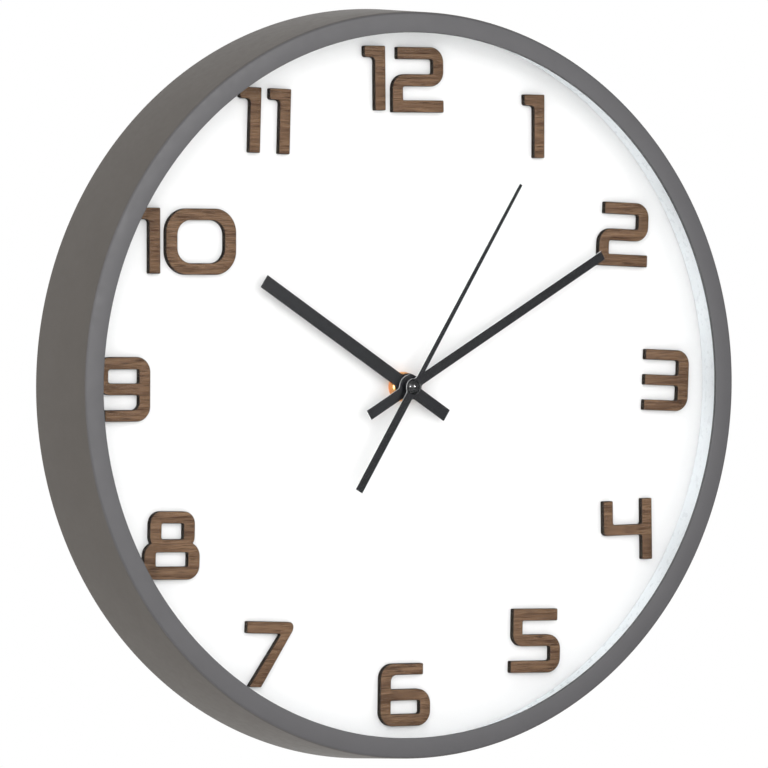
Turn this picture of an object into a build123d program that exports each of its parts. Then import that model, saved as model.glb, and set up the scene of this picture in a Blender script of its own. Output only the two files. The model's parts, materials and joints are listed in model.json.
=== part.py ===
"""Round quartz wall clock: moulded case, glass lens, raised wooden numerals, three hands and a battery movement.

Millimetres. The origin is the centre of the case. The hands' axis runs just below it, as the dial is fitted.
-Y is the side with the dial, +Y is the side against the wall, +Z is twelve o'clock.
A flat shape is drawn as it is seen from the front, x to the right and z up, and given two depths in y.
"""
from build123d import *
from math import cos, hypot, pi, radians, sin
import os

# ---- case and dial: driving dimensions
CASE_DEPTH = 38.0
BEZEL_RADIUS = 150.0
REAR_RADIUS = 153.0
LIP_RADIUS = 141.8
LIP_THICKNESS = 1.7
LIP_ROUNDING = 0.3
BEZEL_ROUNDING = 1.2
WALL = 2.6
SIGHT_RING_RADIUS = 145.0
DIAL_RADIUS = 147.0
LENS_THICKNESS = 1.5
DIAL_DEPTH = 15.9
SHEET = 0.3
BOARD = 1.8
NUMERAL_THICKNESS = 2.5
HUB_DROP = 0.7

FRONT = -CASE_DEPTH / 2
REAR = CASE_DEPTH / 2
LIP_BACK = FRONT + LIP_THICKNESS
LENS_FRONT = LIP_BACK + 0.1
LENS_BACK = LENS_FRONT + LENS_THICKNESS
DIAL = FRONT + DIAL_DEPTH
BOARD_FRONT = DIAL + SHEET
BOARD_BACK = BOARD_FRONT + BOARD

# ---- back cover
COVER_RADIUS = 149.2
COVER_THICKNESS = 2.0
COVER_FRONT = 15.0
COVER_BACK = COVER_FRONT + COVER_THICKNESS
COVER_OPENING = 60.0
KEYHOLE_RADIUS = 4.5
KEYHOLE_SLOT = 4.4
KEYHOLE_Z = 112.0
KEYHOLE_RISE = 9.0
SCREWS = 6
SCREW_CIRCLE = 142.0
BOSS_RADIUS = 3.6
SCREW_RADIUS = 1.25
SCREW_LENGTH = 10.0
HEAD_RADIUS = 2.8
HEAD_HEIGHT = 1.4

# ---- hands: reach from the axis, width, angle clockwise from twelve
HOUR_ANGLE = 303.0
MINUTE_ANGLE = 59.7
SECOND_ANGLE = 31.5
HOUR_PLANE = -8.8
MINUTE_PLANE = -10.8
SECOND_PLANE = -13.7
HAND_SHEET = 0.6
SECOND_SHEET = 0.5
HAND_BLEND = 2.0

# ---- concentric tubes on the axis of the hands
RUNNING = 0.05
ARBOR = 0.5
MINUTE_TUBE = 1.6
HOUR_TUBE = 2.5
BUSHING = 4.0

# ---- movement housing
BOX = 56.0
BOX_FRONT = -0.4
BOX_BACK = 15.6
BOX_WALL = 1.0
LID_FRONT = 12.6
BAY_TOP = -11.4
FLOOR = BOX_FRONT + BOX_WALL
PLATE_FRONT = 11.6
PLATE_BACK = 12.4

# ---- battery, size AA
CELL_RADIUS = 7.1
SLEEVE_RADIUS = 7.25
CELL_LENGTH = 49.2
NUB_RADIUS = 2.7
NUB_LENGTH = 1.3
BATTERY_Y = 8.15
BATTERY_Z = -19.2

# ---- gear train: module of each mesh, and teeth
MODULE_ROTOR = 0.25
MODULE_SECOND = 0.30
MODULE_THIRD = 0.30
MODULE_CENTER = 21.6 / 68
MODULE_MINUTE = 0.35
MODULE_HOUR = 16.8 / 50
ROTOR_TEETH = 10
INTERMEDIATE_TEETH = 60
INTERMEDIATE_PINION = 12
SECOND_TEETH = 60
SECOND_PINION = 8
THIRD_TEETH = 64
THIRD_PINION = 8
CENTER_TEETH = 60
MINUTE_PINION = 12
MOTION_TEETH = 36
MOTION_PINION = 10
HOUR_TEETH = 40
SETTING_TEETH = 18

# direction from one gear axis to the next, in degrees anticlockwise from +X, as seen from the front
TO_THIRD = 45.0
TO_INTERMEDIATE = 135.0
TO_ROTOR = 150.0
TO_MOTION = -10.0
TO_SETTING = -20.0


def polar(radius, degrees_from_x, start=(0.0, 0.0)):
    """A point at a distance and direction from another."""
    turn = radians(degrees_from_x)
    return (start[0] + radius * cos(turn), start[1] + radius * sin(turn))


def centres(module, teeth, other_teeth):
    """Centre distance of two meshed gears."""
    return module * (teeth + other_teeth) / 2


CENTER = (0.0, 0.0)
THIRD = polar(centres(MODULE_THIRD, SECOND_PINION, THIRD_TEETH), TO_THIRD)
INTERMEDIATE = polar(centres(MODULE_SECOND, SECOND_TEETH, INTERMEDIATE_PINION), TO_INTERMEDIATE)
ROTOR = polar(centres(MODULE_ROTOR, INTERMEDIATE_TEETH, ROTOR_TEETH), TO_ROTOR, INTERMEDIATE)
MOTION = polar(centres(MODULE_MINUTE, MINUTE_PINION, MOTION_TEETH), TO_MOTION)
SETTING = polar(centres(MODULE_MINUTE, MOTION_TEETH, SETTING_TEETH), TO_SETTING, MOTION)


# ---------------------------------------------------------------- shapes
def slab(sketch, front, back):
    """A flat shape, drawn as seen from the front, between two depths."""
    return Pos(0, back, 0) * extrude(Plane.XZ * sketch, amount=back - front)


def disc(radius, front, back, at=CENTER, bore=0.0):
    """A round plate or shaft along Y, with or without a bore."""
    shape = Circle(radius)
    if bore:
        shape -= Circle(bore)
    return slab(Pos(*at) * shape, front, back)


def block(x_range, z_range, front, back, rounding=0.0):
    """A rectangular block between two depths."""
    width = x_range[1] - x_range[0]
    height = z_range[1] - z_range[0]
    shape = RectangleRounded(width, height, rounding) if rounding else Rectangle(width, height)
    middle = ((x_range[0] + x_range[1]) / 2, (z_range[0] + z_range[1]) / 2)
    return slab(Pos(*middle) * shape, front, back)


def outline(corners):
    """A closed flat shape from (x, z, corner radius) in order."""
    points = [(x, z) for x, z, _ in corners]
    rounding = [radius for _, _, radius in corners]
    return make_face(FilletPolyline(*points, radius=rounding, close=True).edges())


def turned(points):
    """A solid of revolution about Y, from (radius, y) in order."""
    return revolve(make_face(Polyline(*points, close=True).edges()), Axis.Y)


# ---------------------------------------------------------------- case
def wall_outside(y):
    """Outer radius of the case wall, which widens towards the rear."""
    share = (y - FRONT) / CASE_DEPTH
    return BEZEL_RADIUS + share * (REAR_RADIUS - BEZEL_RADIUS)


def wall_inside(y):
    return wall_outside(y) - WALL


def screw_places(radius):
    """Angles and centres of the cover screws."""
    angles = [90 + (n + 0.5) * 360 / SCREWS for n in range(SCREWS)]
    return [(angle, polar(radius, angle)) for angle in angles]


def bezel():
    """Front of the case: the flat ring in front of the lens, with its rounded edges."""
    profile = [
        (LIP_RADIUS, FRONT, LIP_ROUNDING),
        (BEZEL_RADIUS, FRONT, BEZEL_ROUNDING),
        (wall_outside(LIP_BACK), LIP_BACK, 0.0),
        (LIP_RADIUS, LIP_BACK, LIP_ROUNDING),
    ]
    return revolve(outline(profile), Axis.Y)


def case_wall():
    profile = [
        (wall_outside(LIP_BACK), LIP_BACK, 0.0),
        (REAR_RADIUS, REAR, 0.5),
        (wall_inside(REAR), REAR, 0.3),
        (wall_inside(LIP_BACK), LIP_BACK, 0.0),
    ]
    return revolve(outline(profile), Axis.Y)


def screw_bosses():
    """Six pillars on the inside of the wall, each on its rib, that take the cover screws."""
    front = BOARD_BACK + 0.1
    back = COVER_FRONT - 0.02
    wall = case_wall()
    bosses = []
    for angle, place in screw_places(SCREW_CIRCLE):
        reach = wall_inside(front) + 1 - SCREW_CIRCLE
        rib = Rot(0, 0, angle) * Pos(SCREW_CIRCLE + reach / 2, 0) * Rectangle(reach, 2.4)
        boss = disc(BOSS_RADIUS, front, back, place) + slab(rib, front, back)
        boss -= disc(SCREW_RADIUS, COVER_BACK - SCREW_LENGTH - 1, COVER_BACK, place)
        bosses.append(boss - wall)
    return Compound(children=bosses)


def back_cover():
    plate = Circle(COVER_RADIUS) - RectangleRounded(COVER_OPENING, COVER_OPENING, 3)
    slot_top = KEYHOLE_Z + KEYHOLE_RISE
    keyhole = Pos(0, KEYHOLE_Z) * Circle(KEYHOLE_RADIUS)
    keyhole += Pos(0, KEYHOLE_Z + KEYHOLE_RISE / 2) * Rectangle(KEYHOLE_SLOT, KEYHOLE_RISE)
    keyhole += Pos(0, slot_top) * Circle(KEYHOLE_SLOT / 2)
    plate -= keyhole
    for _, place in screw_places(SCREW_CIRCLE):
        plate -= Pos(*place) * Circle(SCREW_RADIUS + 0.25)
    cover = slab(plate, COVER_FRONT, COVER_BACK)
    rib_back = COVER_BACK + 0.9
    lower = COVER_OPENING / 2
    collar = RectangleRounded(2 * lower + 5, 2 * lower + 5, 5) - RectangleRounded(2 * lower, 2 * lower, 3)
    cover += slab(collar, COVER_BACK - 0.5, rib_back)
    cover += disc(131.0, COVER_BACK - 0.5, rib_back, bore=129.4)
    cover += disc(86.0, COVER_BACK - 0.5, rib_back, bore=84.4)
    for n in range(12):
        spoke = Rot(0, 0, 15 + 30 * n) * Pos(107.7, 0) * Rectangle(44.6, 1.4)
        cover += slab(spoke, COVER_BACK - 0.5, rib_back)
    return cover


def back_cover_screws():
    screws = []
    for angle, place in screw_places(SCREW_CIRCLE):
        head = disc(HEAD_RADIUS, COVER_BACK, COVER_BACK + HEAD_HEIGHT, place)
        head = chamfer(head.edges().group_by(Axis.Y)[-1], 0.5)
        shank = disc(SCREW_RADIUS, COVER_BACK - SCREW_LENGTH, COVER_BACK, place)
        cross = Rectangle(3.2, 0.7) + Rectangle(0.7, 3.2)
        cut = slab(Pos(*place) * Rot(0, 0, angle) * cross, COVER_BACK + 0.5, COVER_BACK + 2)
        screws.append(head + shank - cut)
    return Compound(children=screws)


def lens():
    return disc(DIAL_RADIUS, LENS_FRONT, LENS_BACK)


def spacer_ring():
    """Ring between the lens and the dial, with a small chamfer where it meets the dial."""
    front, back = LENS_BACK + 0.02, DIAL - 0.02
    groove = 0.6
    return turned([
        (SIGHT_RING_RADIUS, front), (DIAL_RADIUS, front), (DIAL_RADIUS, back),
        (SIGHT_RING_RADIUS + groove, back), (SIGHT_RING_RADIUS, back - groove),
    ])


def dial_layer(front, back):
    """A sheet that fills the case, with the hole for the movement's neck."""
    return disc(DIAL_RADIUS, front, back) - disc(BUSHING + 0.2, front - 1, back + 1, (0, -HUB_DROP))


def dial_face():
    return dial_layer(DIAL, BOARD_FRONT)


def dial_board():
    return dial_layer(BOARD_FRONT, BOARD_BACK)


# ---------------------------------------------------------------- numerals
STROKE = 4.9
SOFT = 0.5
TIGHT = 1.0
BOLD = 6.0


def digit_1(height=26.0, width=9.7):
    flag = height - STROKE + 0.3
    stem = width - STROKE
    return outline([
        (0, height, SOFT), (width, height, SOFT), (width, 0, SOFT),
        (stem, 0, SOFT), (stem, flag, 1.6), (0, flag, 1.2),
    ])


def digit_2(height=26.4, width=23.8):
    middle = 13.0
    low, high = middle - STROKE / 2, middle + STROKE / 2
    start = 2.3
    return outline([
        (start, height, SOFT), (width, height, BOLD), (width, low, BOLD), (STROKE, low, TIGHT),
        (STROKE, STROKE, SOFT), (width, STROKE, SOFT), (width, 0, SOFT), (0, 0, SOFT),
        (0, high, BOLD), (width - STROKE, high, TIGHT),
        (width - STROKE, height - STROKE, TIGHT), (start, height - STROKE, SOFT),
    ])


def digit_3(height=25.4, width=21.6):
    middle = height / 2
    bar = 4.4
    low, high = middle - bar / 2, middle + bar / 2
    inside = width - STROKE - 0.3
    return outline([
        (0, height, SOFT), (width, height, BOLD), (width, 0, BOLD), (0, 0, SOFT),
        (0, bar, SOFT), (inside, bar, TIGHT), (inside, low, TIGHT), (0, low, SOFT),
        (0, high, SOFT), (inside, high, TIGHT), (inside, height - bar, TIGHT), (0, height - bar, SOFT),
    ])


def digit_4(height=25.4, width=23.6):
    low, high = 10.3, 14.7
    left = 4.6
    right = width - STROKE
    return outline([
        (0, height - 0.7, SOFT), (left, height - 0.7, SOFT), (left, high, TIGHT), (right, high, TIGHT),
        (right, height, SOFT), (width, height, SOFT), (width, 0, SOFT), (right, 0, SOFT),
        (right, low, TIGHT), (0, low, 1.8),
    ])


def digit_5(height=26.3, width=23.7):
    low, high = 10.9, 15.7
    left, top_end = 0.9, 22.1
    return outline([
        (left, height, SOFT), (top_end, height, SOFT), (top_end, height - STROKE, SOFT),
        (left + STROKE - 0.3, height - STROKE, SOFT), (left + STROKE - 0.3, high, SOFT),
        (width, high, BOLD), (width, 0, BOLD), (0, 0, SOFT), (0, STROKE, SOFT),
        (width - STROKE, STROKE, TIGHT), (width - STROKE, low, TIGHT), (left, low, 4.6),
    ])


def digit_6(height=25.4, width=23.3):
    bowl = 15.0
    bar = 4.6
    top_end = 19.8
    shape = outline([
        (0, height, BOLD), (top_end, height, SOFT), (top_end, height - bar, SOFT),
        (STROKE, height - bar, 2.6), (STROKE, bowl, SOFT), (width, bowl, BOLD),
        (width, 0, BOLD), (0, 0, BOLD),
    ])
    counter = outline([
        (STROKE, bar + 0.3, SOFT), (STROKE, bowl - bar, SOFT),
        (width - STROKE, bowl - bar, TIGHT), (width - STROKE, bar + 0.3, TIGHT),
    ])
    return shape - counter


def digit_7(height=26.2, width=21.4):
    foot = 5.6
    shift = 3.0
    bar = 4.8
    inside = width - 5.9
    return outline([
        (0, height, SOFT), (width, height, 1.9), (width - 0.6, height - 3.4, 2.4),
        (shift + foot - 1.0, 0, SOFT), (shift - 1.0, 0, SOFT), (inside, height - bar, SOFT),
        (0, height - bar, SOFT),
    ])


def digit_8(height=27.0, width=24.6):
    middle = width / 2
    lower = Pos(middle, 7.45) * RectangleRounded(width, 14.9, 5.6)
    upper = Pos(middle, height - 7.5) * RectangleRounded(19.9, 15.0, 5.0)
    upper_hole = Pos(middle + 0.1, height - 7.9) * RectangleRounded(9.8, 6.2, 0.7)
    lower_hole = Pos(middle, 8.0) * RectangleRounded(14.2, 5.6, 0.7)
    return lower + upper - upper_hole - lower_hole


def digit_9(height=25.4, width=23.3):
    return Pos(width, height) * Rot(0, 0, 180) * digit_6(height, width)


def digit_0(height=26.2, width=31.2):
    bar = 4.6
    middle = Pos(width / 2, height / 2)
    hole = RectangleRounded(width - 2 * STROKE - 0.4, height - 2 * bar, 5.9)
    return middle * (RectangleRounded(width, height, 9.4) - hole)


ONE_TO_ONE = 13.4
TEN_PITCH = 12.2
TWELVE_PITCH = 12.9

# hour: radius of the numeral's centre, sideways shift clockwise, anticlockwise tilt of the cut-out as glued
NUMERAL_PLACES = {
    1: (122.1, 0.5, 0.0), 2: (121.5, -0.8, -2.3), 3: (126.0, -0.8, -2.5), 4: (123.1, -0.7, 0.8),
    5: (122.6, -1.1, -1.3), 6: (125.4, -0.6, -0.8), 7: (123.5, 0.25, -3.0), 8: (122.3, -1.3, -1.3),
    9: (126.5, -0.5, -0.3), 10: (114.0, 0.7, 0.0), 11: (123.5, -2.3, -1.7), 12: (123.5, 0.0, 0.6),
}


def numeral_digits(hour):
    """The loose digits of one hour, side by side from x = 0."""
    single = [digit_1, digit_2, digit_3, digit_4, digit_5, digit_6, digit_7, digit_8, digit_9]
    if hour < 10:
        return [single[hour - 1]()]
    if hour == 10:
        return [Pos(0, 0.4) * digit_1(), Pos(TEN_PITCH, 0) * digit_0()]
    if hour == 11:
        return [digit_1(), Pos(ONE_TO_ONE, 0) * digit_1()]
    return [Pos(0, 0.7) * digit_1(), Pos(TWELVE_PITCH, 0) * digit_2()]


def numeral(hour):
    """One hour's cut-outs, glued to the dial."""
    radius, sideways, tilt = NUMERAL_PLACES[hour]
    digits = numeral_digits(hour)
    box = Compound(children=[copy_of(d) for d in digits]).bounding_box()
    middle = box.center()
    direction = 90 - 30 * hour
    place = polar(sideways, direction - 90, polar(radius, direction))
    solids = []
    for digit in digits:
        laid = Pos(*place) * Rot(0, 0, tilt) * Pos(-middle.X, -middle.Y) * digit
        solids.append(slab(laid, DIAL - NUMERAL_THICKNESS, DIAL - 0.005))
    return Compound(children=solids)


def copy_of(shape):
    """The same shape again, so that a compound may own it."""
    return Pos(0, 0) * shape


# ---------------------------------------------------------------- hands
def hand(reach, widths, boss, plane, sheet, collar, bore, angle):
    """Flat hand with a round boss and, behind it, the collar that grips its tube.

    reach is (tip, tail) from the axis, widths are those at the hub, the tip and the tail,
    and collar is its (radius, length). The angle is clockwise from twelve.
    """
    tip, tail = reach
    at_hub, at_tip, at_tail = (width / 2 for width in widths)
    right = dict.fromkeys([(at_tail, -tail), (at_tail, 0), (at_hub, 0), (at_tip, tip)])
    left = [(-x, z) for x, z in reversed(right)]
    back = plane + sheet
    flat = slab(Polygon(*right, *left, align=None), plane, back) + disc(boss, plane, back)
    upright = [(edge, edge.center()) for edge in flat.edges().filter_by(Axis.Y)]
    joints = [edge for edge, at in upright if abs(hypot(at.X, at.Z) - boss) < 0.01]
    whole = Rot(0, angle, 0) * fillet(joints, HAND_BLEND)
    whole += disc(collar[0], plane, back + collar[1])
    return whole - disc(bore, plane - 1, back + collar[1] + 1)


def hour_hand():
    return hand((78.3, 21.6), (5.4, 5.6, 5.2), 5.5, HOUR_PLANE, HAND_SHEET, (3.4, 1.2), HOUR_TUBE, HOUR_ANGLE)


def minute_hand():
    widths = (4.1, 3.75, 4.3)
    return hand((105.9, 22.2), widths, 5.0, MINUTE_PLANE, HAND_SHEET, (2.4, 0.7), MINUTE_TUBE, MINUTE_ANGLE)


def second_hand():
    widths = (2.1, 1.4, 3.45)
    return hand((96.3, 48.7), widths, 3.45, SECOND_PLANE, SECOND_SHEET, (1.2, 1.5), ARBOR, SECOND_ANGLE)


def second_hand_cap():
    """Glossy domed cap over the end of the seconds arbor."""
    radius, height, dome = 3.0, 1.4, 4.35
    front = SECOND_PLANE - height
    cap = disc(radius, front, SECOND_PLANE) & Pos(0, front + dome, 0) * Sphere(dome)
    return cap - disc(ARBOR, SECOND_PLANE - 0.9, SECOND_PLANE)


# ---------------------------------------------------------------- gears
def gear_outline(teeth, module, phase):
    """Straight-sided teeth, the first one centred on the phase angle."""
    pitch_radius = module * teeth / 2
    tip = pitch_radius + 0.85 * module
    root = pitch_radius - 1.2 * module
    step = 2 * pi / teeth
    root_half = 0.30 * step
    tip_half = 0.085 * step
    points = []
    for tooth in range(teeth):
        middle = radians(phase) + tooth * step
        for radius, offset in ((root, -root_half), (tip, -tip_half), (tip, tip_half), (root, root_half)):
            points.append((radius * cos(middle + offset), radius * sin(middle + offset)))
    return Polygon(*points, align=None)


def gear(teeth, module, phase, at, front, back, bore=0.0):
    """A toothed disc on its axis."""
    shape = gear_outline(teeth, module, phase)
    if bore:
        shape -= Circle(bore)
    return slab(Pos(*at) * shape, front, back)


def spoked(teeth, module, phase, at, front, back, bore=0.0):
    """A larger wheel with five round lightening holes."""
    root = module * teeth / 2 - 1.2 * module
    shape = gear_outline(teeth, module, phase)
    for n in range(5):
        shape -= Pos(*polar(0.6 * root, phase + 36 + 72 * n)) * Circle(0.2 * root)
    if bore:
        shape -= Circle(bore)
    return slab(Pos(*at) * shape, front, back)


def meshed(phase, teeth, other_teeth, direction):
    """Phase of the gear that lies in this direction and meshes with one at this phase."""
    past = (direction - phase) * teeth / 360
    return direction + 180 - (360 / other_teeth) * (0.5 - past)


def second_wheel():
    """Seconds arbor with its wheel and its pinion."""
    wheel = spoked(SECOND_TEETH, MODULE_SECOND, 0, CENTER, 8.2, 9.0)
    pinion = gear(SECOND_PINION, MODULE_THIRD, 0, CENTER, 6.3, 8.2)
    return disc(ARBOR, SECOND_PLANE - 0.6, PLATE_BACK - 0.1) + wheel + pinion


THIRD_PHASE = meshed(0, SECOND_PINION, THIRD_TEETH, TO_THIRD)
INTERMEDIATE_PHASE = meshed(0, SECOND_TEETH, INTERMEDIATE_PINION, TO_INTERMEDIATE)
ROTOR_PHASE = meshed(INTERMEDIATE_PHASE, INTERMEDIATE_TEETH, ROTOR_TEETH, TO_ROTOR)
CENTER_PHASE = meshed(THIRD_PHASE, THIRD_PINION, CENTER_TEETH, TO_THIRD + 180)
MOTION_PHASE = meshed(0, MINUTE_PINION, MOTION_TEETH, TO_MOTION)
HOUR_PHASE = meshed(MOTION_PHASE, MOTION_PINION, HOUR_TEETH, TO_MOTION + 180)
SETTING_PHASE = meshed(MOTION_PHASE, MOTION_TEETH, SETTING_TEETH, TO_SETTING)


def third_wheel():
    wheel = spoked(THIRD_TEETH, MODULE_THIRD, THIRD_PHASE, THIRD, 6.5, 7.3)
    pinion = gear(THIRD_PINION, MODULE_CENTER, THIRD_PHASE, THIRD, 4.4, 6.5)
    return disc(ARBOR, FLOOR + 0.1, PLATE_BACK - 0.1, THIRD) + wheel + pinion


def center_wheel():
    """Minute wheel of the train, which grips the minute tube only by friction."""
    wheel = spoked(CENTER_TEETH, MODULE_CENTER, CENTER_PHASE, CENTER, 4.6, 5.4, MINUTE_TUBE + RUNNING)
    hub = disc(2.7, 4.2, 5.8, bore=MINUTE_TUBE + RUNNING)
    return wheel + hub


def intermediate_wheel():
    at = INTERMEDIATE
    wheel = spoked(INTERMEDIATE_TEETH, MODULE_ROTOR, INTERMEDIATE_PHASE, at, 10.0, 10.8)
    pinion = gear(INTERMEDIATE_PINION, MODULE_SECOND, INTERMEDIATE_PHASE, at, 8.0, 10.0)
    return disc(ARBOR, FLOOR + 0.1, PLATE_BACK - 0.1, at) + wheel + pinion


def rotor_pinion():
    pinion = gear(ROTOR_TEETH, MODULE_ROTOR, ROTOR_PHASE, ROTOR, 9.8, 11.2)
    sleeve = disc(1.0, 7.1, 9.8, ROTOR)
    return disc(ARBOR, FLOOR + 0.1, PLATE_BACK - 0.1, ROTOR) + pinion + sleeve


def rotor_magnet():
    return disc(3.0, 4.3, 7.1, ROTOR, ARBOR)


def minute_tube():
    """Hollow minute arbor with the pinion that drives the motion work."""
    tube = disc(MINUTE_TUBE, MINUTE_PLANE - 0.5, 6.1, bore=ARBOR + RUNNING)
    pinion = gear(MINUTE_PINION, MODULE_MINUTE, 0, CENTER, 2.5, 3.9, ARBOR + RUNNING)
    return tube + pinion


def motion_wheel():
    wheel = spoked(MOTION_TEETH, MODULE_MINUTE, MOTION_PHASE, MOTION, 2.6, 3.6, 0.65)
    pinion = gear(MOTION_PINION, MODULE_HOUR, MOTION_PHASE, MOTION, 0.9, 2.6, 0.65)
    return wheel + pinion


def hour_wheel():
    """Hollow hour arbor with its wheel."""
    bore = MINUTE_TUBE + RUNNING
    tube = disc(HOUR_TUBE, HOUR_PLANE - 0.4, 2.1, bore=bore)
    return tube + gear(HOUR_TEETH, MODULE_HOUR, HOUR_PHASE, CENTER, 1.1, 2.1, bore)


def setting_gear():
    return gear(SETTING_TEETH, MODULE_MINUTE, SETTING_PHASE, SETTING, 2.6, 3.6, 1.2)


def setting_knob():
    """Knob on the back that sets the hands, with its shaft."""
    knob_front = BOX_BACK + 0.3
    knob_back = REAR - 0.5
    grip = Circle(6.0)
    for n in range(24):
        grip -= Pos(*polar(6.15, 15 * n)) * Circle(0.42)
    knob = slab(Pos(*SETTING) * grip, knob_front, knob_back)
    knob -= disc(4.4, knob_back - 0.5, knob_back + 1, SETTING, 3.4)
    return knob + disc(1.2, FLOOR + 0.1, knob_front, SETTING)


# ---------------------------------------------------------------- movement housing
def movement_front_case():
    """Open tray that holds the train, with the battery bay along its lower edge."""
    half = BOX / 2
    inner = half - BOX_WALL
    tray = block((-half, half), (-half, half), BOX_FRONT, BOX_BACK, 3.0)
    tray -= block((-inner, inner), (BAY_TOP + BOX_WALL, inner), FLOOR, BOX_BACK + 1, 2.0)
    tray -= block((-inner, inner), (-inner, BAY_TOP), FLOOR, BOX_BACK + 1, 0.6)
    tray -= block((-half - 1, half + 1), (BAY_TOP, half + 1), LID_FRONT, BOX_BACK + 1)
    tray -= disc(BUSHING, BOX_FRONT - 1, FLOOR + 0.5)
    for place in (THIRD, INTERMEDIATE, ROTOR):
        tray += disc(1.4, FLOOR - 0.2, FLOOR + 0.6, place)
        tray -= disc(ARBOR + RUNNING, FLOOR, FLOOR + 1, place)
    tray += disc(1.9, FLOOR - 0.2, FLOOR + 0.9, SETTING)
    tray -= disc(1.2 + RUNNING, FLOOR, FLOOR + 2, SETTING)
    tray += disc(0.6, FLOOR - 0.2, 3.9, MOTION)
    for x in (-half + 2.6, half - 2.6):
        for z in (BAY_TOP + 2.6, half - 2.6):
            tray += disc(1.5, FLOOR - 0.2, PLATE_FRONT - 0.02, (x, z))
    for x in (-17.0, 17.0):
        rest = Pos(x, BATTERY_Z) * Rectangle(1.2, inner + BAY_TOP - 3.4)
        tray += slab(rest, FLOOR - 0.2, FLOOR + 0.1)
    return tray


def train_plate():
    """Inner plate that carries the rear pivots."""
    edge = BOX / 2 - BOX_WALL - 0.1
    low = BAY_TOP + BOX_WALL + 0.1
    shape = outline([
        (-edge, low, 2), (edge, low, 2), (edge, 10.6, 1.5), (4.0, 10.6, 1.5),
        (-5.0, 18.6, 2), (-19.0, 18.6, 2), (-19.0, edge, 1.5), (-edge, edge, 1.9),
    ])
    for place in (CENTER, THIRD, INTERMEDIATE, ROTOR):
        shape -= Pos(*place) * Circle(ARBOR + RUNNING)
    shape -= Pos(*SETTING) * Circle(1.2 + RUNNING)
    return slab(shape, PLATE_FRONT, PLATE_BACK)


def movement_rear_cover():
    """Lid over the gear train, with the opening for the setting shaft."""
    half = BOX / 2
    inner = half - BOX_WALL
    low = BAY_TOP + 0.05
    lid = block((-half, half), (low, half), LID_FRONT + 0.02, BOX_BACK, 2.4)
    lid -= block((-inner, inner), (low + BOX_WALL, inner), LID_FRONT - 1, BOX_BACK - BOX_WALL, 1.6)
    lid -= disc(1.2 + RUNNING, LID_FRONT, BOX_BACK + 1, SETTING)
    recess = block((-half + 4, 6.0), (half - 17, half - 4), BOX_BACK - 0.3, BOX_BACK + 1, 1.5)
    lid -= recess
    lid += disc(6.6, BOX_BACK - 0.3, BOX_BACK + 0.2, SETTING, 6.0)
    return lid


def threaded_bushing():
    """Threaded neck that passes through the dial; the hour tube turns inside it."""
    neck_front = DIAL - 3.4
    bore = HOUR_TUBE + RUNNING
    pitch = 0.75
    turns = 6
    start = neck_front + 0.3
    profile = [(bore, neck_front, 0), (BUSHING - 0.35, neck_front, 0)]
    for n in range(turns):
        profile += [(BUSHING, start + (n + 0.25) * pitch, 0), (BUSHING, start + (n + 0.4) * pitch, 0)]
        profile += [(BUSHING - 0.35, start + (n + 0.95) * pitch, 0)]
    profile += [(BUSHING, start + (turns + 0.25) * pitch, 0), (BUSHING, FLOOR, 0), (bore, FLOOR, 0)]
    return turned([(radius, y) for radius, y, _ in profile])


def dial_nut():
    """Round knurled nut with a rounded front edge."""
    radius, front, back = 6.0, DIAL - 3.5, DIAL - 0.4
    nut = disc(radius, front, back)
    nut = fillet(nut.edges().group_by(Axis.Y)[0], 1.6) - disc(BUSHING, front - 1, back + 1)
    grooves = 30
    for n in range(grooves):
        nut -= disc(0.3, front - 1, back + 1, polar(radius + 0.1, n * 360 / grooves))
    return nut


def dial_washer():
    return disc(5.9, DIAL - 0.4, DIAL, bore=BUSHING)


def rubber_gasket():
    """Soft ring between the movement and the dial board."""
    return disc(11.0, BOARD_BACK, BOX_FRONT, bore=BUSHING)


# ---------------------------------------------------------------- battery and contacts
def along_x(radius, start, end, bore=0.0):
    """A round bar along X at the battery's place."""
    shape = Circle(radius)
    if bore:
        shape -= Circle(bore)
    bar = extrude(Plane.YZ * shape, amount=end - start)
    return Pos(start, BATTERY_Y, BATTERY_Z) * bar


def battery_cell():
    half = (CELL_LENGTH + NUB_LENGTH) / 2
    can = along_x(CELL_RADIUS, -half, half - NUB_LENGTH)
    can = fillet(can.edges(), 0.5)
    return can + along_x(NUB_RADIUS, half - NUB_LENGTH - 0.1, half)


def battery_sleeve():
    half = (CELL_LENGTH + NUB_LENGTH) / 2
    return along_x(SLEEVE_RADIUS, -half + 0.6, half - NUB_LENGTH - 0.6, CELL_RADIUS)


def contact(side):
    """Plated spring strip in one end of the battery bay."""
    wall = BOX / 2 - BOX_WALL
    strip = 0.25
    low, high = BATTERY_Z - 3.2, BATTERY_Z + 3.2
    x = side * (wall - strip / 2 - 0.02)
    plate = block((x - strip / 2, x + strip / 2), (low, high), FLOOR + 0.02, BOX_BACK - 1.5)
    lead_y = FLOOR + strip + 0.02
    lead_end = side * (wall - 5.0)
    lead = block(tuple(sorted((lead_end, side * (wall - 0.1)))), (low, high), FLOOR + 0.02, lead_y)
    return plate + lead


def positive_contact():
    x = BOX / 2 - BOX_WALL - 0.02
    return contact(1) + along_x(2.2, x - 1.2, x - 0.1)


def negative_contact():
    """Contact with a conical spring of flat turns."""
    x = -BOX / 2 + BOX_WALL + 0.02
    shape = contact(-1)
    for n, radius in enumerate((4.4, 3.5, 2.6)):
        shape += along_x(radius, x + 0.2 + 0.35 * n, x + 0.6 + 0.35 * n, radius - 0.7 - 0.35)
    return shape


# ---------------------------------------------------------------- electronics
BOARD_X = (5.4, 22.8)
BOARD_Z = (12.2, 26.6)
BOARD_Y = 9.7


def circuit_board():
    return block(BOARD_X, BOARD_Z, BOARD_Y, BOARD_Y + 1.0, 0.8)


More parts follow.
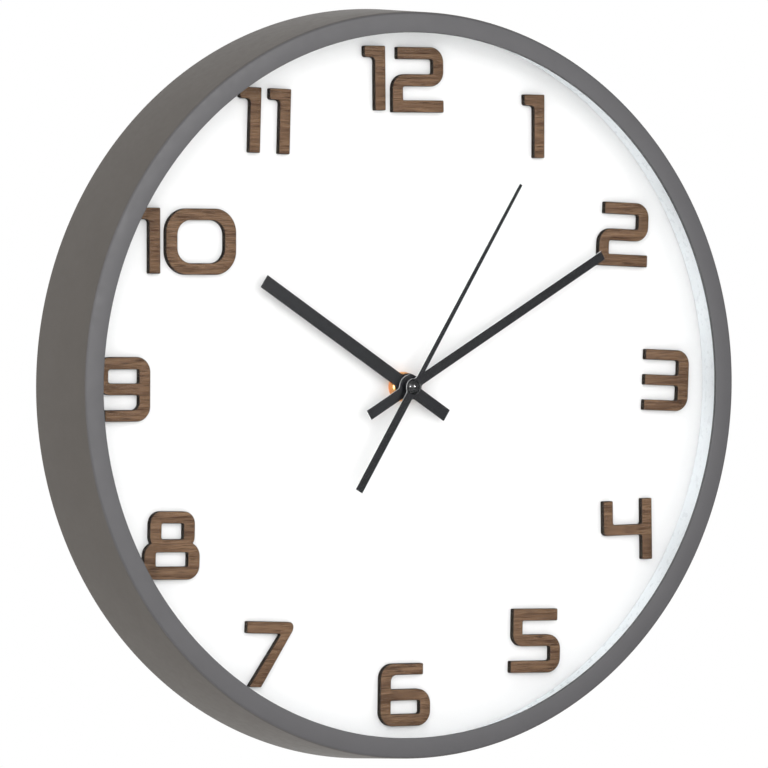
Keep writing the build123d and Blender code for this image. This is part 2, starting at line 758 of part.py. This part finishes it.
def timing_chip():
    """Round epoxy blob over the chip."""
    back = BOARD_Y + 1.0
    blob = outline([(0, 0, 0), (3.0, 0, 0), (2.6, 1.1, 0.9), (0, 1.1, 0)])
    return Pos(17.4, back, 19.5) * revolve(blob, Axis.Y)


def quartz_crystal():
    """Small cylindrical can with its two leads."""
    can_y = BOARD_Y + 1.0 + 1.05
    can = Pos(10.0, can_y, 16.2) * extrude(Plane.XY * Circle(1.0), amount=6.0)
    can = fillet(can.edges(), 0.25)
    for x in (9.6, 10.4):
        can += Pos(x, can_y, 14.0) * extrude(Plane.XY * Circle(0.15), amount=2.5)
    return can


COIL_Y = 5.6
COIL_Z = 22.9
COIL_X = (-18.6, -1.4)


def coil_bobbin():
    """Square tube with two flanges that holds the winding on the core."""
    y_range = (COIL_Y - 1.2, COIL_Y + 1.2)
    tube = block(COIL_X, (COIL_Z - 1.7, COIL_Z + 1.7), *y_range)
    for x in (COIL_X[0], COIL_X[1] - 0.8):
        tube += block((x, x + 0.8), (COIL_Z - 3.8, COIL_Z + 3.8), COIL_Y - 3.8, COIL_Y + 3.8, 0.3)
    hollow = block((COIL_X[0] - 1, COIL_X[1] + 1), (COIL_Z - 1.1, COIL_Z + 1.1), COIL_Y - 0.5, COIL_Y + 0.5)
    return tube - hollow


def coil_winding():
    start, end = COIL_X[0] + 0.85, COIL_X[1] - 0.85
    winding = Pos(start, COIL_Y, COIL_Z) * extrude(Plane.YZ * Circle(3.4), amount=end - start)
    hollow = block((start - 1, end + 1), (COIL_Z - 1.72, COIL_Z + 1.72), COIL_Y - 1.22, COIL_Y + 1.22)
    return winding - hollow


def stator():
    """Soft-iron plate: two poles round the rotor and a core through the coil."""
    core_half = 1.0
    left, right = COIL_X[0] - 4.6, COIL_X[1] + 4.6
    leg = 3.6
    top = COIL_Z + core_half + 0.8
    plate = Pos((left + right) / 2, COIL_Z) * Rectangle(right - left, 2 * core_half)
    for x, foot in ((left + leg / 2, ROTOR[1]), (right - leg / 2, 12.7)):
        plate += Pos(x, (foot + top) / 2) * Rectangle(leg, top - foot)
    plate += Pos((ROTOR[0] + right) / 2, 12.7) * Rectangle(right - ROTOR[0], 3.8)
    plate += Pos((ROTOR[0] + left) / 2, ROTOR[1]) * Rectangle(ROTOR[0] - left, 4.0)
    plate += Pos(*ROTOR) * Circle(5.2)
    plate -= Pos(*ROTOR) * Circle(3.4)
    return slab(plate, COIL_Y - 0.4, COIL_Y + 0.4)


# ---------------------------------------------------------------- nodes
CASE_NODES = {
    "bezel": bezel,
    "case_wall": case_wall,
    "screw_bosses": screw_bosses,
    "lens": lens,
    "spacer_ring": spacer_ring,
    "dial_face": dial_face,
    "dial_board": dial_board,
    "back_cover": back_cover,
    "back_cover_screws": back_cover_screws,
}

# drawn round the hands' axis, and set down with it
MOVEMENT_NODES = {
    "hour_hand": hour_hand,
    "minute_hand": minute_hand,
    "second_hand": second_hand,
    "second_hand_cap": second_hand_cap,
    "second_wheel": second_wheel,
    "third_wheel": third_wheel,
    "center_wheel": center_wheel,
    "intermediate_wheel": intermediate_wheel,
    "rotor_pinion": rotor_pinion,
    "rotor_magnet": rotor_magnet,
    "minute_tube": minute_tube,
    "motion_wheel": motion_wheel,
    "hour_wheel": hour_wheel,
    "setting_gear": setting_gear,
    "setting_knob": setting_knob,
    "movement_front_case": movement_front_case,
    "movement_rear_cover": movement_rear_cover,
    "train_plate": train_plate,
    "threaded_bushing": threaded_bushing,
    "dial_nut": dial_nut,
    "dial_washer": dial_washer,
    "rubber_gasket": rubber_gasket,
    "battery_cell": battery_cell,
    "battery_sleeve": battery_sleeve,
    "positive_contact": positive_contact,
    "negative_contact": negative_contact,
    "circuit_board": circuit_board,
    "timing_chip": timing_chip,
    "quartz_crystal": quartz_crystal,
    "coil_bobbin": coil_bobbin,
    "coil_winding": coil_winding,
    "stator": stator,
}

os.makedirs("parts", exist_ok=True)
for name, make in CASE_NODES.items():
    export_step(make(), f"parts/{name}.step")
for name, make in MOVEMENT_NODES.items():
    export_step(Pos(0, 0, -HUB_DROP) * make(), f"parts/{name}.step")
for hour in range(1, 13):
    export_step(numeral(hour), f"parts/numeral_{hour:02d}.step")
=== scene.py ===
"""Looks of a round quartz wall clock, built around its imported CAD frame.

Metres, +Z up, -Y towards the viewer of the dial. The origin is the centre of the case.
The camera, the lamps and the floor are placed in metres. The clock's own sizes are in
millimetres, and MM turns them into metres.
"""
import json
from math import asin, cos, pi, radians, sin, tan

import bmesh
import bpy
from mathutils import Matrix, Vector


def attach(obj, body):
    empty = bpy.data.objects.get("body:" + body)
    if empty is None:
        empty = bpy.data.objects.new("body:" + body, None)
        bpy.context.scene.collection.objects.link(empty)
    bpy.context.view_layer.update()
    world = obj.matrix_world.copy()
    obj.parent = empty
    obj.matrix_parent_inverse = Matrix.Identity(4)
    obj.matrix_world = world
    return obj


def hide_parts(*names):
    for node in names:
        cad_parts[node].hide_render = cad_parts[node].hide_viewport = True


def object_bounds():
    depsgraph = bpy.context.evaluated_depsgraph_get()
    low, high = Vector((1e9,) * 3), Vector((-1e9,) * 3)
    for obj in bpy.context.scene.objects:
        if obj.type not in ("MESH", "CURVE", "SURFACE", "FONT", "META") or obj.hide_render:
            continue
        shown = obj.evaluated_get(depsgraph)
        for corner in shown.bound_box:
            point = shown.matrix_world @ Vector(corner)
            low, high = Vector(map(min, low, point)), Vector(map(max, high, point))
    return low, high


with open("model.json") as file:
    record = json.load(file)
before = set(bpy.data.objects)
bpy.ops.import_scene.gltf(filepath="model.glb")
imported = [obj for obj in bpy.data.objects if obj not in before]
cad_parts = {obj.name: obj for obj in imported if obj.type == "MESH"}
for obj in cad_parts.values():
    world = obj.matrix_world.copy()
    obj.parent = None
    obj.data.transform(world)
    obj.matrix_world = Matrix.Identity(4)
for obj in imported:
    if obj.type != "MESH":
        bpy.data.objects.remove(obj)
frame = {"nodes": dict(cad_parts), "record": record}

cad_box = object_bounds()
MM = 0.001
WHITE = (1.0, 1.0, 1.0)

# the case's section, from its axis and from its middle plane
FRONT = cad_box[0][1] / MM
LIP_BACK = -17.3
REAR = cad_box[1][1] / MM
LIP_RADIUS = 141.8
BEZEL_RADIUS = 150.0
REAR_RADIUS = 153.0
WALL = 2.6

# the second hand's cap: a dome of radius CAP_DOME, with a blind hole for the end of the arbor
HUB_Z = -0.7
SECOND_HAND_FRONT = -13.7
CAP_RADIUS = 3.0
CAP_HEIGHT = 1.4
CAP_DOME = 4.35
CAP_STEPS = 24
CAP_SEGMENTS = 96
ARBOR_END = -14.6
ARBOR_RADIUS = 0.5

# how far the sharp edges of the pieces are rounded
NUMERAL_ROUNDING = 0.18
HAND_ROUNDING = 0.05
EASED = {
    "dial_nut": 0.05, "back_cover": 0.3, "back_cover_screws": 0.12,
    "movement_front_case": 0.2, "movement_rear_cover": 0.25, "setting_knob": 0.12,
}

# edges that turn more than SHARP are crisp, faces within FLAT are one, and so are points within WELD
SHARP = radians(32)
FLAT = radians(0.5)
WELD = 0.002

# most values of a noise lie between these
NOISE_LOW = 0.3
NOISE_HIGH = 0.7


def srgb(red, green, blue):
    """Linear colour of an 8-bit display colour."""
    shares = (value / 255 for value in (red, green, blue))
    return tuple(s / 12.92 if s <= 0.04045 else ((s + 0.055) / 1.055) ** 2.4 for s in shares)


def scaled(colour, factor):
    """A linear colour made lighter or darker."""
    return tuple(min(1.0, channel * factor) for channel in colour)


# ---------------------------------------------------------------- camera, light and floor
VIEW_AZIMUTH = radians(-29.53)
VIEW_ELEVATION = radians(1.10)
VIEW_DISTANCE = 2.0
VIEW_LENS = 233.3
VIEW_SHIFT_RIGHT = -14.78 * MM
VIEW_SHIFT_UP = 0.65 * MM
FLOOR_Z = -1.0
FLOOR_RADIUS = 7.0


def add_camera():
    """Long lens, from the left of the dial, aimed just left of the centre of the bezel."""
    back = Vector((sin(VIEW_AZIMUTH) * cos(VIEW_ELEVATION),
                   -cos(VIEW_AZIMUTH) * cos(VIEW_ELEVATION),
                   sin(VIEW_ELEVATION)))
    right = Vector((cos(VIEW_AZIMUTH), sin(VIEW_AZIMUTH), 0))
    bezel = Vector((0, cad_box[0][1], 0))
    aim = bezel + right * VIEW_SHIFT_RIGHT + back.cross(right) * VIEW_SHIFT_UP
    data = bpy.data.cameras.new("camera")
    data.lens = VIEW_LENS
    data.sensor_width = 36
    data.clip_end = 50
    camera = bpy.data.objects.new("camera", data)
    camera.location = aim + back * VIEW_DISTANCE
    camera.rotation_euler = (-back).to_track_quat("-Z", "Y").to_euler()
    bpy.context.collection.objects.link(camera)
    bpy.context.scene.camera = camera


def add_softbox(name, place, size, power, gloss_only=False):
    """A rectangular lamp aimed at the clock and out of the camera's sight, for gloss alone if so said."""
    data = bpy.data.lights.new(name, "AREA")
    data.shape = "RECTANGLE"
    data.size, data.size_y = size
    data.energy = power
    lamp = bpy.data.objects.new(name, data)
    lamp.location = place
    lamp.rotation_euler = (-Vector(place)).to_track_quat("-Z", "Y").to_euler()
    lamp.visible_camera = False
    lamp.visible_diffuse = not gloss_only
    bpy.context.collection.objects.link(lamp)


def add_light():
    """White surroundings, two large softboxes, and two narrow ones that show in the polished cap."""
    world = bpy.data.worlds.new("studio")
    world.use_nodes = True
    background = world.node_tree.nodes["Background"]
    background.inputs["Color"].default_value = (*WHITE, 1)
    background.inputs["Strength"].default_value = 1.0
    bpy.context.scene.world = world
    bpy.context.scene.view_settings.view_transform = "Standard"
    add_softbox("front", (-1.2, -2.9, 0.5), (3.2, 2.4), 43.0)
    add_softbox("key", (-1.7, -2.3, 1.5), (1.6, 1.6), 11.0)
    add_softbox("strip_left", (-1.28, -2.02, 0.38), (0.22, 0.45), 75.0, gloss_only=True)
    add_softbox("strip_right", (0.62, -2.28, 0.38), (0.28, 0.60), 105.0, gloss_only=True)


def add_floor():
    """Plain pale floor, well below the hanging clock."""
    mesh = bpy.data.meshes.new("floor")
    work = bmesh.new()
    bmesh.ops.create_circle(work, cap_ends=True, segments=128, radius=FLOOR_RADIUS)
    work.to_mesh(mesh)
    work.free()
    floor = bpy.data.objects.new("floor", mesh)
    floor.location = (0, 0, FLOOR_Z)
    bpy.context.collection.objects.link(floor)
    shader = Shader("floor_paint")
    shader.vary_colour(srgb(246, 246, 245), 60, 0.02)
    shader.set(Roughness=0.8)
    mesh.materials.append(shader.material)


# ---------------------------------------------------------------- materials
class Shader:
    """A Principled material, with short calls for the nodes that vary it. Sizes are in millimetres."""

    def __init__(self, name):
        self.material = bpy.data.materials.new(name)
        self.material.use_nodes = True
        self.tree = self.material.node_tree
        self.bsdf = self.tree.nodes["Principled BSDF"]
        coordinates = self.node("ShaderNodeTexCoord")
        self.place = coordinates.outputs["Object"]
        self.facing = coordinates.outputs["Normal"]

    def node(self, kind, inputs=None, **settings):
        """A node; an input is a value or another node's output."""
        made = self.tree.nodes.new(kind)
        for key, value in settings.items():
            setattr(made, key, value)
        for key, value in (inputs or {}).items():
            self.feed(made.inputs[key], value)
        return made

    def feed(self, socket, value):
        """A socket takes a value, or a link from another node's output."""
        if isinstance(value, bpy.types.NodeSocket):
            self.tree.links.new(value, socket)
        else:
            socket.default_value = value

    def noise(self, size, detail=3.0, stretch=(1, 1, 1), distortion=0.0):
        """Noise with features of about this size, times stretch along each axis."""
        scale = [1 / (size * MM * factor) for factor in stretch]
        place = self.node("ShaderNodeMapping", {"Vector": self.place, "Scale": scale}).outputs[0]
        inputs = {"Vector": place, "Scale": 1.0, "Detail": detail, "Distortion": distortion}
        return self.node("ShaderNodeTexNoise", inputs).outputs["Fac"]

    def ramp(self, factor, *stops):
        """Colours along a factor, from (position, colour) in order."""
        made = self.node("ShaderNodeValToRGB", {"Fac": factor})
        elements = made.color_ramp.elements
        while len(elements) < len(stops):
            elements.new(1.0)
        for element, (position, colour) in zip(elements, stops):
            element.position = position
            element.color = (*colour, 1)
        return made.outputs["Color"]

    def two_tone(self, factor, first, second):
        """From one colour to another over most values of a noise."""
        return self.ramp(factor, (NOISE_LOW, first), (NOISE_HIGH, second))

    def drift(self, factor, colour, amount):
        """A colour that a noise makes darker and lighter by this share."""
        return self.two_tone(factor, scaled(colour, 1 - amount), scaled(colour, 1 + amount))

    def span(self, factor, low, high, start=NOISE_LOW, end=NOISE_HIGH):
        """A number from low to high as the factor goes from start to end."""
        inputs = {"Value": factor, "From Min": start, "From Max": end, "To Min": low, "To Max": high}
        return self.node("ShaderNodeMapRange", inputs).outputs["Result"]

    def mix(self, factor, first, second, blend="MIX"):
        """Two colours mixed. The node's sockets for colours share their names, so they go by number."""
        made = self.node("ShaderNodeMix", data_type="RGBA", blend_type=blend)
        for number, value in ((0, factor), (6, first), (7, second)):
            self.feed(made.inputs[number], value)
        return made.outputs[2]

    def axis(self, vector, name):
        """One part of a vector: X, Y or Z."""
        return self.node("ShaderNodeSeparateXYZ", {"Vector": vector}).outputs[name]

    def colour(self, tone):
        """Base colour from a node's output."""
        self.feed(self.bsdf.inputs["Base Color"], tone)

    def roughness(self, factor, low, high):
        """Roughness from low to high over most values of a noise."""
        self.feed(self.bsdf.inputs["Roughness"], self.span(factor, low, high))

    def vary_colour(self, colour, size, amount):
        """Base colour that drifts by this share over patches of this size."""
        self.colour(self.drift(self.noise(size), colour, amount))

    def vary_roughness(self, roughness, size, amount):
        """Roughness that drifts by this amount over patches of this size."""
        self.roughness(self.noise(size), roughness - amount, roughness + amount)

    def relief(self, height, depth):
        """Bump of this depth."""
        bump = self.node("ShaderNodeBump", {"Height": height, "Distance": depth * MM})
        self.feed(self.bsdf.inputs["Normal"], bump.outputs["Normal"])

    def set(self, **values):
        """Values that are the same all over, on the shader's own sockets."""
        for name, value in values.items():
            self.bsdf.inputs[name.replace("_", " ")].default_value = value


def moulding(name, colour, roughness=0.5, grain=0.35, depth=0.015, mottle=0.05, specular=0.4):
    """Moulded plastic: spark-eroded grain, slight drift of colour and gloss."""
    shader = Shader(name)
    shader.vary_colour(colour, 9.0, mottle)
    shader.vary_roughness(roughness, 2.5, 0.05)
    shader.relief(shader.noise(grain, detail=4), depth)
    shader.set(Specular_IOR_Level=specular)
    return shader.material


def metal(name, colour, roughness=0.3, brushed=(1, 1, 1), depth=0.004, size=0.5):
    """Bare or plated metal, with fine lines along the axis that brushed stretches."""
    shader = Shader(name)
    lines = shader.noise(size, detail=5, stretch=brushed)
    shader.colour(shader.two_tone(lines, scaled(colour, 0.86), scaled(colour, 1.06)))
    shader.roughness(lines, roughness - 0.08, roughness + 0.08)
    shader.relief(lines, depth)
    shader.set(Metallic=1.0)
    return shader.material


def case_paint():
    """Satin grey, warm on the side of the case and a little cooler and darker on its flat front: painted
    light, a tone by facing that stands in for how the lamps fall on one moulding.
    """
    shader = Shader("case_grey_satin_painted_light")
    patches = shader.noise(14.0)
    side = shader.drift(patches, srgb(86, 82, 78), 0.03)
    front = shader.drift(patches, srgb(79, 78, 80), 0.03)
    # painted light: the side and the flat front take their tones from the way each face points
    painted_light_to_front = shader.span(shader.axis(shader.facing, "Y"), 0.0, 1.0, start=-0.35, end=-0.9)
    shader.colour(shader.mix(painted_light_to_front, side, front))
    shader.vary_roughness(0.46, 3.0, 0.03)
    shader.relief(shader.noise(0.25, detail=4), 0.006)
    shader.set(Specular_IOR_Level=0.1)
    return shader.material


def inner_edge_painted_shade():
    """Painted shade on the inner edge of the bezel, next to the lens: a darker grey that stands in for the
    shade there.
    """
    return moulding("case_grey_inner_edge_painted_shade", srgb(66, 66, 67), roughness=0.55, grain=0.25, depth=0.006,
                    mottle=0.03, specular=0.2)


def lens_glass():
    """Clear flat glass: light passes straight through, with a faint reflection that grows at a slant."""
    shader = Shader("lens_glass_clear")
    shader.tree.nodes.remove(shader.bsdf)
    clear = shader.node("ShaderNodeBsdfTransparent", {"Color": (1, 1, 1, 1)})
    smear = shader.span(shader.noise(18.0), 0.0, 0.05)
    gloss = shader.node("ShaderNodeBsdfGlossy", {"Roughness": smear})
    fresnel = shader.node("ShaderNodeFresnel", {"IOR": 1.10})
    layers = {0: fresnel.outputs[0], 1: clear.outputs[0], 2: gloss.outputs[0]}
    glass = shader.node("ShaderNodeMixShader", layers)
    shader.feed(shader.tree.nodes["Material Output"].inputs["Surface"], glass.outputs[0])
    return shader.material


def walnut():
    """Walnut with its grain across, fine pores and a dull oil finish."""
    dark, middle, light = srgb(81, 60, 45), srgb(107, 83, 64), srgb(128, 101, 77)
    shader = Shader("walnut_veneer")
    figure = shader.noise(1.1, detail=6, stretch=(16, 4, 1), distortion=0.5)
    pores = shader.noise(0.34, detail=2, stretch=(18, 4, 1))
    tone = shader.ramp(figure, (0.30, dark), (0.5, middle), (0.72, light))
    pore = shader.ramp(pores, (0.34, (0.40, 0.38, 0.37)), (0.48, WHITE))
    shader.colour(shader.mix(1.0, tone, pore, "MULTIPLY"))
    shader.roughness(figure, 0.62, 0.48)
    shader.relief(pores, 0.03)
    shader.set(Specular_IOR_Level=0.03)
    return shader.material


def charred_wood():
    """Laser-cut edge of the numerals: near-black, with the layers of the board just showing."""
    shader = Shader("walnut_charred")
    layers = shader.noise(0.5, detail=3, stretch=(8, 1, 8))
    shader.colour(shader.two_tone(layers, srgb(30, 26, 22), srgb(48, 40, 33)))
    shader.set(Roughness=0.8, Specular_IOR_Level=0.1)
    return shader.material


def dial_paper():
    """Matt coated white paper."""
    shader = Shader("dial_white_paper")
    shader.vary_colour(srgb(232, 232, 232), 25.0, 0.006)
    shader.vary_roughness(0.62, 4.0, 0.04)
    shader.relief(shader.noise(0.6, detail=5), 0.004)
    shader.set(Specular_IOR_Level=0.2)
    return shader.material


def hand_lacquer():
    """Black satin lacquer on sheet aluminium."""
    shader = Shader("hand_black_lacquer")
    shader.vary_colour(srgb(24, 25, 28), 5.0, 0.1)
    shader.vary_roughness(0.36, 1.2, 0.05)
    shader.relief(shader.noise(0.3, detail=3), 0.003)
    shader.set(Specular_IOR_Level=0.05)
    return shader.material


def battery_wrap():
    """Shrink sleeve in two plain colours, which meet 10 mm along the cell from its middle."""
    shader = Shader("battery_wrap_two_tone")
    patches = shader.noise(6.0)
    body = shader.two_tone(patches, srgb(28, 62, 92), srgb(33, 70, 102))
    tip = shader.two_tone(patches, srgb(196, 200, 204), srgb(208, 212, 215))
    at_tip = shader.span(shader.axis(shader.place, "X"), 0.0, 1.0, start=9.9 * MM, end=10.1 * MM)
    shader.colour(shader.mix(at_tip, body, tip))
    shader.vary_roughness(0.22, 2.0, 0.05)
    shader.relief(shader.noise(3.0, detail=2), 0.02)
    return shader.material


def fibreboard():
    """Raw brown fibreboard, as on the back of the dial."""
    shader = Shader("dial_fibreboard_raw")
    fibres = shader.noise(0.8, detail=6, stretch=(2, 1, 1))
    shader.colour(shader.two_tone(fibres, srgb(138, 104, 72), srgb(176, 142, 104)))
    shader.relief(fibres, 0.05)
    shader.set(Roughness=0.85)
    return shader.material


def copper_winding():
    """Enamelled wire, wound round the X axis in close turns."""
    shader = Shader("coil_copper_turns")
    turn = 0.8 * MM
    wave = shader.node("ShaderNodeTexWave", {"Vector": shader.place, "Scale": 1 / turn, "Distortion": 0.4})
    turns = wave.outputs["Fac"]
    # the colour goes dark in the grooves between turns and light on their crowns: painted shade along each
    # turn
    shader.colour(shader.ramp(turns, (0.0, srgb(110, 50, 24)), (1.0, srgb(196, 104, 60))))
    shader.relief(turns, 0.05)
    shader.set(Metallic=1.0, Roughness=0.35)
    return shader.material


def dial_materials():
    """Case, dial and hands."""
    return {
        "case_grey": case_paint(),
        "lens_glass": lens_glass(),
        "ring_white": moulding("ring_white_gloss", srgb(230, 235, 238), roughness=0.3, grain=0.5,
                               depth=0.0003, mottle=0.002),
        "dial_white": dial_paper(),
        "dial_fibreboard": fibreboard(),
        "walnut": walnut(),
        "hand_black": hand_lacquer(),
        "cap_black": moulding("cap_black_gloss", srgb(22, 23, 25), roughness=0.11, grain=1.0,
                              depth=0.0005, mottle=0.08, specular=0.35),
        "brass": metal("brass_turned", srgb(236, 172, 108), depth=0.003, size=0.4),
        "gasket_rubber": moulding("gasket_rubber_matt", srgb(34, 34, 34), roughness=0.85, grain=0.5,
                                  depth=0.02, mottle=0.1, specular=0.2),
    }


def back_materials():
    """Back cover, outside of the movement, and battery."""
    return {
        "cover_black": moulding("cover_black_grained", srgb(42, 42, 44), roughness=0.62, grain=0.45,
                                depth=0.04, mottle=0.08),
        "screw_steel": metal("screw_zinc", (0.62, 0.62, 0.60), roughness=0.34),
        "movement_black": moulding("movement_black_grained", srgb(34, 34, 36), roughness=0.55,
                                   grain=0.3, depth=0.03, mottle=0.08),
        "battery_steel": metal("battery_nickel", (0.74, 0.73, 0.70), roughness=0.24),
        "battery_label": battery_wrap(),
        "contact_nickel": metal("contact_nickel_spring", (0.72, 0.70, 0.66), roughness=0.2),
    }


def works_materials():
    """Inside of the movement."""
    return {
        "plate_natural": moulding("plate_natural_moulding", srgb(206, 202, 190)),
        "gear_natural": moulding("gear_natural_acetal", srgb(228, 226, 216), roughness=0.4, grain=0.5,
                                 depth=0.004, mottle=0.02),
        "gear_amber": moulding("gear_amber_acetal", srgb(196, 142, 62), roughness=0.4, grain=0.5,
                               depth=0.004, mottle=0.03),
        "phenolic_board": moulding("phenolic_board_resist", srgb(126, 88, 48), roughness=0.45,
                                   grain=0.6, depth=0.02, mottle=0.12),
        "epoxy_black": moulding("epoxy_black_cured", srgb(22, 22, 23), roughness=0.2, grain=0.8,
                                depth=0.004, mottle=0.1, specular=0.5),
        "crystal_can": metal("crystal_can_drawn", (0.70, 0.70, 0.70), roughness=0.22, brushed=(1, 1, 12)),
        "bobbin_white": moulding("bobbin_white_moulding", srgb(226, 225, 219), roughness=0.45,
                                 grain=0.5, depth=0.004, mottle=0.02),
        "coil_copper": copper_winding(),
        "stator_iron": metal("stator_annealed", (0.42, 0.42, 0.43), roughness=0.42, brushed=(10, 1, 1)),
        "magnet_black": moulding("magnet_sintered", srgb(58, 58, 61), roughness=0.6, grain=0.2,
                                 depth=0.02, mottle=0.15, specular=0.5),
    }


def finish_nodes(materials):
    """Every CAD node takes the finished material of its slot."""
    for part in frame["record"]["subparts"]:
        mesh_object = frame["nodes"][part["node"]]
        for held in mesh_object.material_slots:
            held.material = materials[part["material_slot"]]


# ---------------------------------------------------------------- pieces
def slot_of(node):
    """The record's material slot of a CAD node."""
    return next(part["material_slot"] for part in frame["record"]["subparts"] if part["node"] == node)


def body_of(node):
    """The body that a CAD node rides on."""
    bodies = frame["record"]["behaviour"]["bodies"]
    return next(body for body, nodes in bodies.items() if node in nodes)


def add_piece(name, work, *nodes):
    """A finished mesh as the piece that stands for these CAD nodes, on their body."""
    mesh = bpy.data.meshes.new(name)
    bmesh.ops.recalc_face_normals(work, faces=work.faces)
    work.to_mesh(mesh)
    work.free()
    mesh.set_sharp_from_angle(angle=SHARP)
    piece = bpy.data.objects.new(name, mesh)
    bpy.context.collection.objects.link(piece)
    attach(piece, body_of(nodes[0]))
    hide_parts(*nodes)
    return piece


def coat(piece, *coats):
    """A piece takes its materials, in the order of its material indices."""
    for material in coats:
        piece.data.materials.append(material)


def rounded_copy(node, rounding, segments=2):
    """A piece in place of a CAD node, the same shape with its sharp edges rounded.

    Faces towards the front or the back have material index 0, rounded ones 1 and sides 2,
    so that a rim and a side can be given their own materials.
    """
    work = bmesh.new()
    work.from_mesh(frame["nodes"][node].data)
    bmesh.ops.remove_doubles(work, verts=work.verts, dist=WELD * MM)
    bmesh.ops.dissolve_limit(work, angle_limit=FLAT, verts=work.verts, edges=work.edges)
    edges = [e for e in work.edges if len(e.link_faces) == 2 and e.calc_face_angle() > SHARP]
    for face in work.faces:
        face.smooth = True
        face.material_index = 0 if abs(face.normal.y) > 0.5 else 2
    made = bmesh.ops.bevel(work, geom=edges, offset=rounding * MM, offset_type="OFFSET", segments=segments,
                           profile=0.5, affect="EDGES", clamp_overlap=True, material=-1)
    for face in made["faces"]:
        face.material_index = 1
    return add_piece(f"{node}_piece", work, node)


def filleted(corners, steps=6):
    """A closed profile from (radius, y, rounding) in order, each corner rounded with an arc."""
    points = []
    for n, (radius, y, rounding) in enumerate(corners):
        corner = Vector((radius, y))
        before = (Vector(corners[n - 1][:2]) - corner).normalized()
        after = (Vector(corners[(n + 1) % len(corners)][:2]) - corner).normalized()
        if not rounding:
            points.append(corner)
            continue
        half = before.angle(after) / 2
        middle = corner + (before + after).normalized() * (rounding / sin(half))
        start, end = (corner + side * (rounding / tan(half)) - middle for side in (before, after))
        for step in range(steps + 1):
            points.append(middle + start.slerp(end, step / steps).normalized() * rounding)
    return points


def lathe(profile, segments=512):
    """A closed profile in millimetres, turned round the Y axis."""
    work = bmesh.new()
    rings = []
    for n in range(segments):
        turn = 2 * pi * n / segments
        rings.append([work.verts.new((r * MM * cos(turn), y * MM, r * MM * sin(turn))) for r, y in profile])
    for ring, following in zip(rings, rings[1:] + rings[:1]):
        for n in range(len(profile)):
            work.faces.new((ring[n], ring[n - 1], following[n - 1], following[n])).smooth = True
    return work


def add_case(materials):
    """Bezel and wall in one moulding, with a drafted side, eased edges and painted shade inside the lip."""
    section = [
        # radius, place along the axis, rounding
        (LIP_RADIUS, FRONT, 0.3),
        (BEZEL_RADIUS, FRONT, 1.2),
        (REAR_RADIUS, REAR, 0.5),
        (REAR_RADIUS - WALL, REAR, 0.3),
        (BEZEL_RADIUS - WALL, LIP_BACK, 0.0),
        (LIP_RADIUS, LIP_BACK, 0.35),
    ]
    painted_shade_radius = LIP_RADIUS + 0.25
    work = lathe(filleted(section))
    for face in work.faces:
        middle = face.calc_center_median()
        radius = (middle.x ** 2 + middle.z ** 2) ** 0.5
        # faces on the inner face of the lip take the darker grey: painted shade next to the lens
        face.material_index = int(radius < painted_shade_radius * MM and middle.y < LIP_BACK * MM)
    piece = add_piece("case_moulding", work, "bezel", "case_wall")
    coat(piece, materials["case_grey"], inner_edge_painted_shade())


def add_numerals(materials):
    """Veneered cut-outs with charred sides and a scorched rim round the face."""
    face, side = materials["walnut"], charred_wood()
    for hour in range(1, 13):
        coat(rounded_copy(f"numeral_{hour:02d}", NUMERAL_ROUNDING), face, side, side)


def add_hands(materials):
    """Lacquered hands; the minute and second hands have bright edges where the sheet was blanked."""
    black = materials["hand_black"]
    bare = metal("hand_bare_edge", (0.97, 0.97, 0.97), roughness=0.6)
    for node, edge in (("hour_hand", black), ("minute_hand", bare), ("second_hand", bare)):
        coat(rounded_copy(node, HAND_ROUNDING, segments=1), black, black, edge)


def add_cap(materials):
    """The polished dome over the end of the arbor, turned in fine steps."""
    middle = SECOND_HAND_FRONT - CAP_HEIGHT + CAP_DOME
    reach = asin(CAP_RADIUS / CAP_DOME)
    angles = [reach * step / CAP_STEPS for step in range(CAP_STEPS + 1)]
    dome = [(CAP_DOME * sin(angle), middle - CAP_DOME * cos(angle)) for angle in angles]
    back = [(CAP_RADIUS, SECOND_HAND_FRONT), (ARBOR_RADIUS, SECOND_HAND_FRONT), (ARBOR_RADIUS, ARBOR_END)]
    work = lathe([*dome, *back, (0, ARBOR_END)], CAP_SEGMENTS)
    bmesh.ops.remove_doubles(work, verts=work.verts, dist=WELD * MM)
    bmesh.ops.translate(work, verts=work.verts, vec=(0, 0, HUB_Z * MM))
    coat(add_piece("cap_dome", work, "second_hand_cap"), materials["cap_black"])


def add_eased(materials):
    """Mouldings, screws and nut with their edges eased."""
    for node, rounding in EASED.items():
        coat(rounded_copy(node, rounding), materials[slot_of(node)])


materials = {**dial_materials(), **back_materials(), **works_materials()}
add_camera()
add_light()
add_floor()
finish_nodes(materials)
add_case(materials)
add_numerals(materials)
add_hands(materials)
add_cap(materials)
add_eased(materials)
